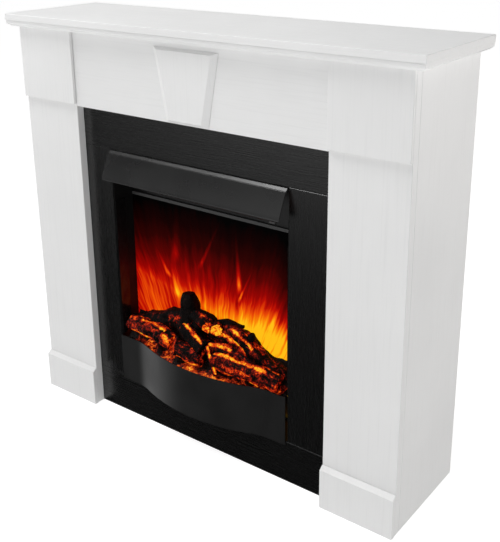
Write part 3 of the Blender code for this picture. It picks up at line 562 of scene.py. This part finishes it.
def build_fire():
    """All the logs, standing for the one moulded CAD log set. Glowing patches come with each log."""
    bed = make_ember_bed()
    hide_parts("log_set")
    make_log("log_rear_left", [(-226, -22, 38, 15), (-170, -24, 58, 19), (-105, -25, 80, 22),
                               (-50, -26, 94, 24), (0, -28, 94, 20)], 1,
             [(0.05, 0.55, 70, 34, 0.44), (0.50, 0.90, 20, 44, 0.52)], 0.22, body=0.18)
    make_log("log_stump", [(-44, -27, 88, 32), (-46, -26, 116, 25),
                           (-49, -25, 140, 20), (-50, -24, 158, 12)], 2,
             [(0.0, 0.30, -20, 40, 0.3)], 0.16)
    make_log("log_rear_knee", [(-38, -27, 112, 19), (-12, -27, 108, 20),
                               (14, -30, 96, 19), (36, -33, 78, 15)], 3,
             [(0.15, 0.80, 62, 30, 0.60), (0.30, 0.70, 0, 30, 0.45)], 0.24, body=0.22)
    make_log("log_rear_ledge", [(20, -20, 104, 9), (52, -18, 113, 10),
                                (86, -19, 113, 8), (98, -18, 116, 5)], 4,
             [], 0.26, squash=0.7)
    make_log("log_rear_right", [(28, -26, 82, 22), (80, -24, 88, 24), (130, -24, 66, 24),
                                (175, -22, 42, 22), (222, -22, 18, 20)], 5,
             [(0.06, 0.52, 22, 20, 0.95), (0.15, 0.80, 92, 30, 0.52), (0.0, 0.35, -40, 26, 0.70)], 0.22,
             body=0.40)
    make_log("log_right_branch", [(70, -34, 112, 10), (100, -34, 100, 15), (135, -32, 76, 16),
                                  (165, -34, 52, 14)], 6,
             [(0.08, 0.70, 44, 26, 0.98), (0.30, 0.90, 100, 30, 0.58)], 0.26, body=0.40)
    make_log("log_right_knob", [(122, -30, 92, 9), (129, -30, 108, 8), (131, -29, 114, 5)], 7, [], 0.15)
    make_log("log_cut_end_left", [(8, -28, 94, 13), (20, -44, 104, 13), (28, -56, 109, 12)], 8,
             [(0.55, 1.0, 180, 190, 0.5)], 0.20, ends=(0.0, 0.80), body=0.2)
    make_log("log_cut_end_right", [(28, -24, 96, 15), (42, -42, 106, 15), (50, -52, 109, 14)], 17,
             [(0.55, 1.0, 180, 190, 0.5)], 0.22, ends=(0.0, 0.86), squash=0.9, body=0.2)
    make_log("log_diagonal", [(-78, -36, 90, 14), (-45, -46, 84, 17),
                              (-10, -58, 74, 17), (26, -68, 62, 14)], 9,
             [(0.25, 0.97, 66, 24, 0.95), (0.05, 0.40, 20, 30, 0.55)], 0.24, body=0.24)
    make_log("log_front_left", [(-206, -50, 52, 17), (-160, -54, 54, 20), (-112, -58, 54, 20),
                                (-66, -66, 48, 17)], 10,
             [(0.26, 0.84, 80, 20, 0.98), (0.06, 0.62, -40, 20, 0.85), (0.02, 0.45, 20, 50, 0.60),
              (0.80, 0.98, 40, 40, 0.88)], 0.20, ends=(0.5, 0.4), body=0.54)
    make_log("log_left_knot", [(-104, -64, 55, 16), (-98, -71, 51, 15), (-96, -77, 49, 9)], 11, [], 0.16)
    make_log("log_front_middle", [(-52, -67, 42, 16), (-15, -71, 40, 19), (22, -70, 38, 16)], 12,
             [(0.0, 0.20, 10, 60, 0.72), (0.0, 1.0, -42, 24, 0.98), (0.20, 0.80, 60, 30, 0.50)], 0.20,
             ends=(0.68, 0.3), body=0.44)
    make_log("log_front_right", [(54, -66, 46, 19), (100, -62, 44, 22),
                                 (155, -56, 40, 22), (214, -50, 30, 19)], 13,
             [(0.0, 0.85, 70, 21, 1.0), (0.05, 0.80, -45, 20, 0.95), (0.05, 0.70, 10, 50, 0.62)], 0.16,
             ends=(0.35, 0.0), body=0.52)
    make_log("log_middle_right", [(24, -52, 62, 13), (62, -50, 66, 15),
                                  (105, -48, 62, 14), (150, -46, 50, 12)], 14,
             [(0.08, 0.62, 50, 28, 1.0), (0.40, 1.0, 0, 36, 0.54)], 0.22, body=0.47)
    make_log("twig_left", [(-56, -60, 64, 5), (-50, -76, 50, 5.5), (-46, -82, 30, 5)], 15,
             [(0.10, 0.90, 0, 60, 0.80)], 0.20, body=0.3)
    make_log("rim_middle", [(30, -62, 68, 6), (48, -72, 44, 6), (70, -82, 18, 5)], 16,
             [(0.0, 1.0, 60, 60, 0.92)], 0.22, body=0.3)


# ---------------------------------------------------------------- screws
def make_screw(name, centre, facing, radius):
    """A pan-head screw with a cross slot, its underside on centre, facing along one axis."""
    rows = ((1.0, 0.0), (1.0, 0.18), (0.86, 0.42), (0.55, 0.58), (0.30, 0.62), (0.24, 0.30))
    sides = 24
    axis = Vector(facing)
    across = axis.orthogonal().normalized()
    other = axis.cross(across)
    verts = []
    for share, height in rows:
        for k in range(sides):
            turn = 2 * math.pi * k / sides
            reach = share
            if share < 0.5:                      # the slot's rim is a soft cross
                reach = share * (1.0 + 0.75 * abs(math.cos(2 * turn)) ** 3)
            out = across * math.cos(turn) + other * math.sin(turn)
            verts.append(Vector(centre) + (out * reach + axis * height) * radius)
    make_piece(name, verts, tube_faces(len(rows), sides), dark_zinc, smooth=False)


def build_screws():
    """Screws that hold the casing's back, in a column along each side."""
    low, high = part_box("casing_back")
    inset, count = 9 * MM, 4
    for side, x in (("left", low.x + inset), ("right", high.x - inset)):
        for k in range(count):
            z = low.z + inset + k * (high.z - low.z - 2 * inset) / (count - 1)
            make_screw(f"back_screw_{side}_{k + 1}", (x, high.y, z), (0, 1, 0), 3.2 * MM)


def build_hood_hem():
    """The raised hem along the hood's upper fold, with rounded ends: it catches the light."""
    low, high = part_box("hood")
    section = ((17.0, -1.6), (16.2, 0.6), (17.0, 1.3), (17.9, 0.9), (24.2, -4.9), (24.5, -5.7),
               (23.7, -6.3), (20.5, -5.6))      # mm in front of the hood's back and over its top
    middle_y = sum(y for y, z in section) / len(section)
    middle_z = sum(z for y, z in section) / len(section)
    end = ((0.0, 0.45), (0.3, 0.82), (1.2, 1.0))        # (mm from the end, share of the full section)
    stations = [(low.x + inset * MM, share) for inset, share in end]
    stations += [(high.x - inset * MM, share) for inset, share in reversed(end)]
    points = []
    for x, share in stations:
        for y, z in section:
            forward = middle_y + (y - middle_y) * share
            upward = middle_z + (z - middle_z) * share
            points.append((x, high.y - forward * MM, high.z + upward * MM))
    faces = tube_faces(len(stations), len(section))
    make_piece("hood_hem", points, faces, hood_satin, smooth=False)


def build_baffle():
    """A folded steel sheet inside the rear louvres beside the fan, so nobody sees straight through."""
    plate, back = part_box("fan_end_plate_right"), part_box("casing_back")
    sheet, flange, wide, clear = 1.0 * MM, 14 * MM, 62 * MM, 3 * MM
    left, right = plate[1].x + 0.5 * MM, plate[1].x + wide
    rear = back[0].y - clear
    fold = 2.5 * MM
    outer = [(left, rear - flange), (left, rear - fold), (left + 0.3 * fold, rear - 0.3 * fold),
             (left + fold, rear), (right - fold, rear), (right - 0.3 * fold, rear - 0.3 * fold),
             (right, rear - fold), (right, rear - flange)]
    inner = [(right - sheet, rear - flange), (right - sheet, rear - fold), (right - fold, rear - sheet),
             (left + fold, rear - sheet), (left + sheet, rear - fold), (left + sheet, rear - flange)]
    outline = outer + inner
    low, high = plate[0].z + clear, plate[1].z
    count = len(outline)
    verts = [(x, y, z) for z in (low, high) for x, y in outline]
    faces = [(k, (k + 1) % count, (k + 1) % count + count, k + count) for k in range(count)]
    faces += [tuple(reversed(range(count))), tuple(range(count, 2 * count))]
    make_piece("rear_baffle", verts, outward(verts, faces), coated_steel, smooth=False)


# ---------------------------------------------------------------- finishes onto the frame
GRAIN_ALONG = {
    "shelf_top": "x", "shelf_underboard": "x", "frieze_board": "x",
    "fascia_top_rail": "x", "fascia_bottom_rail": "x",
}


def finish_nodes():
    """Every CAD node gets the finish of its slot."""
    lacquer = {axis: white_lacquer(axis) for axis in "xz"}
    foil = {axis: black_foil(axis) for axis in "xz"}
    plain = {
        "raw_board": raw_board(),
        "zinc": zinc_plate(),
        "black_steel": coated_steel,
        "rubber": rubber(),
        "gloss_black": gloss_black(),
        "flame_acrylic": flame_picture(),
        "satin_black": powder_coat("satin_black", 0.007, 0.34, 0.42, 0.035),
        "switch_plastic": moulded_plastic("switch_plastic", 0.075, 0.38),
        "circuit_board": circuit_board(),
        "alloy": bright_alloy(),
        "element_core": element_core(),
        "black_plastic": moulded_plastic("black_plastic", 0.022, 0.46),
        "log_resin": charred,
    }
    # heater_deck gets a lighter copy of the satin black coat: painted light, standing for the light its front
    # lip reflects
    own = {"heater_deck": powder_coat("deck_edge_painted_light", 0.050, 0.40, 0.50), "hood": hood_satin}
    for name, slot in SLOT_OF.items():
        if slot == "white_paint":
            material = lacquer[GRAIN_ALONG.get(name, "z")]
        elif slot == "black_foil":
            material = foil[GRAIN_ALONG.get(name, "z")]
        else:
            material = plain[slot]
        for holder in NODES[name].material_slots:
            holder.material = own.get(name, material)
        NODES[name].modifiers.new("smooth_curves", "NODES").node_group = curves


def smooth_group():
    """Geometry nodes that join split points and shade smooth across edges under 20 degrees."""
    group = bpy.data.node_groups.new("smooth_curves", "GeometryNodeTree")
    group.interface.new_socket("Geometry", in_out="INPUT", socket_type="NodeSocketGeometry")
    group.interface.new_socket("Geometry", in_out="OUTPUT", socket_type="NodeSocketGeometry")
    nodes, links = group.nodes, group.links
    start, end = nodes.new("NodeGroupInput"), nodes.new("NodeGroupOutput")
    weld = nodes.new("GeometryNodeMergeByDistance")
    weld.inputs["Distance"].default_value = 0.01 * MM
    forget = nodes.new("GeometryNodeRemoveAttribute")
    forget.inputs["Name"].default_value = "custom_normal"
    faces = nodes.new("GeometryNodeSetShadeSmooth")
    edges = nodes.new("GeometryNodeSetShadeSmooth")
    edges.domain = "EDGE"
    angle = nodes.new("GeometryNodeInputMeshEdgeAngle")
    shallow = nodes.new("FunctionNodeCompare")
    shallow.operation = "LESS_THAN"
    shallow.inputs[1].default_value = math.radians(20)
    links.new(angle.outputs["Unsigned Angle"], shallow.inputs[0])
    links.new(shallow.outputs[0], edges.inputs["Shade Smooth"])
    chain = [start, weld, forget, faces, edges, end]
    for first, second in zip(chain, chain[1:]):
        links.new(first.outputs[0], second.inputs[0])
    return group


# ---------------------------------------------------------------- studio
def build_floor():
    corners = [(-FLOOR_HALF, -FLOOR_HALF, 0), (FLOOR_HALF, -FLOOR_HALF, 0),
               (FLOOR_HALF, FLOOR_HALF, 0), (-FLOOR_HALF, FLOOR_HALF, 0)]
    mesh = bpy.data.meshes.new("floor")
    mesh.from_pydata(corners, [], [(0, 1, 2, 3)])
    floor = bpy.data.objects.new("floor", mesh)
    bpy.context.scene.collection.objects.link(floor)
    f = Finish("studio_floor", Roughness=0.9)
    f.feed("Base Color", f.mix(f.noise(3.0), grey(0.34), grey(0.36)))
    f.feed("Emission Color", grey(1.0))
    f.feed("Emission Strength", 0.88)
    mesh.materials.append(f.material)
    floor.visible_glossy = False


def build_backdrop():
    """A white dome round the studio that only the camera sees, so low views have no grey horizon."""
    bm = bmesh.new()
    bmesh.ops.create_uvsphere(bm, u_segments=48, v_segments=24, radius=FLOOR_HALF * 0.9)
    mesh = bpy.data.meshes.new("backdrop")
    bm.to_mesh(mesh)
    bm.free()
    dome = bpy.data.objects.new("backdrop", mesh)
    bpy.context.scene.collection.objects.link(dome)
    f = Finish("studio_backdrop", Roughness=0.9)
    f.feed("Base Color", grey(0.0))
    f.feed("Emission Color", f.mix(f.noise(0.1), grey(0.98), grey(1.0)))
    f.feed("Emission Strength", 1.0)
    mesh.materials.append(f.material)
    for rays in ("diffuse", "glossy", "transmission", "volume_scatter", "shadow"):
        setattr(dome, "visible_" + rays, False)


def build_world():
    """Soft light from all round, and a tall bright window in front. The floor hides what is below the
    horizon, except in reflections: black sheet and foil mirror the window, which fades out downward."""
    world = bpy.data.worlds.new("studio")
    bpy.context.scene.world = world
    world.use_nodes = True
    tree = world.node_tree

    def node(kind, values=None, **settings):
        made = tree.nodes.new(kind)
        for key, value in settings.items():
            setattr(made, key, value)
        for key, value in (values or {}).items():
            if isinstance(value, bpy.types.NodeSocket):
                tree.links.new(value, made.inputs[key])
            else:
                made.inputs[key].default_value = value
        return made

    def bands(height, levels):
        made = node("ShaderNodeValToRGB", {"Fac": height})
        elements = made.color_ramp.elements
        elements.remove(elements[1])
        elements[0].position = (levels[0][0] + 1) / 2
        elements[0].color = (*grey(levels[0][1]), 1.0)
        for sine, light in levels[1:]:
            elements.new((sine + 1) / 2).color = (*grey(light), 1.0)
        return made.outputs["Color"]

    spot = node("ShaderNodeTexCoord").outputs["Generated"]
    rise = node("ShaderNodeSeparateXYZ", {"Vector": spot}).outputs["Z"]
    height = node("ShaderNodeMapRange", {"Value": rise, "From Min": -1.0}).outputs["Result"]
    level = node("ShaderNodeVectorMath", {0: spot, 1: (1.0, 1.0, 0.0)}, operation="MULTIPLY").outputs[0]
    level = node("ShaderNodeVectorMath", {0: level}, operation="NORMALIZE").outputs[0]
    light = bands(height, SKY)
    for azimuth, (start, full), how, levels in WINDOWS:
        a = math.radians(azimuth)
        toward = (math.sin(a), -math.cos(a), 0.0)
        facing = node("ShaderNodeVectorMath", {0: level, 1: toward}, operation="DOT_PRODUCT")
        mask = node("ShaderNodeMapRange", {
            "Value": facing.outputs["Value"], "From Min": start, "From Max": full})
        window = node("ShaderNodeVectorMath", {0: bands(height, levels), 1: mask.outputs["Result"]},
                      operation="MULTIPLY").outputs[0]
        light = node("ShaderNodeVectorMath", {0: light, 1: window}, operation=how).outputs[0]
    background = next(n for n in tree.nodes if n.type == "BACKGROUND")
    tree.links.new(light, background.inputs["Color"])


def area_light(name, azimuth, elevation, distance, size, power, color=(1, 1, 1)):
    """A square soft light. Azimuth is from straight in front, towards the object's right (+x)."""
    target = Vector((0, 0, 0.5))
    a, e = math.radians(azimuth), math.radians(elevation)
    away = Vector((math.sin(a) * math.cos(e), -math.cos(a) * math.cos(e), math.sin(e)))
    data = bpy.data.lights.new(name, "AREA")
    data.energy = power
    data.size = size
    data.color = color
    lamp = bpy.data.objects.new(name, data)
    turn = away.to_track_quat("Z", "Y").to_matrix().to_4x4()
    lamp.matrix_world = Matrix.Translation(target + away * distance) @ turn
    bpy.context.scene.collection.objects.link(lamp)


def build_lights():
    area_light("key", -70, 7, 4.0, 1.3, KEY_POWER)
    area_light("fill", 128, 0, 3.4, 1.6, FILL_POWER, (1.0, 0.970, 0.945))
    area_light("top", -45, 72, 3.0, 1.8, TOP_POWER)


def build_camera():
    data = bpy.data.cameras.new("camera")
    data.sensor_width = 36.0
    data.lens = CAMERA_LENS
    data.shift_x, data.shift_y = CAMERA_SHIFT
    camera = bpy.data.objects.new("camera", data)
    forward = Vector((-math.sin(CAMERA_YAW) * math.cos(CAMERA_PITCH),
                      math.cos(CAMERA_YAW) * math.cos(CAMERA_PITCH), -math.sin(CAMERA_PITCH)))
    right = forward.cross(Vector((0, 0, 1))).normalized()
    up = right.cross(forward)
    turned_right = math.cos(CAMERA_ROLL) * right + math.sin(CAMERA_ROLL) * up
    turned_up = -math.sin(CAMERA_ROLL) * right + math.cos(CAMERA_ROLL) * up
    turn = Matrix((turned_right, turned_up, -forward)).transposed().to_4x4()
    camera.matrix_world = Matrix.Translation(CAMERA_PLACE) @ turn
    bpy.context.scene.collection.objects.link(camera)
    bpy.context.scene.camera = camera


charred = charred_log()
coated_steel = powder_coat("black_steel", 0.006, 0.42, 0.58, specular=0.25)
hood_satin = powder_coat("hood_satin", 0.006, 0.25, 0.31, 0.02)
dark_zinc = zinc_plate("dark_zinc", 0.20, 300.0)
curves = smooth_group()
finish_nodes()
build_fire()
build_screws()
build_hood_hem()
build_baffle()
build_floor()
build_backdrop()
build_world()
build_lights()
build_camera()
bpy.context.scene.view_settings.view_transform = "Standard"
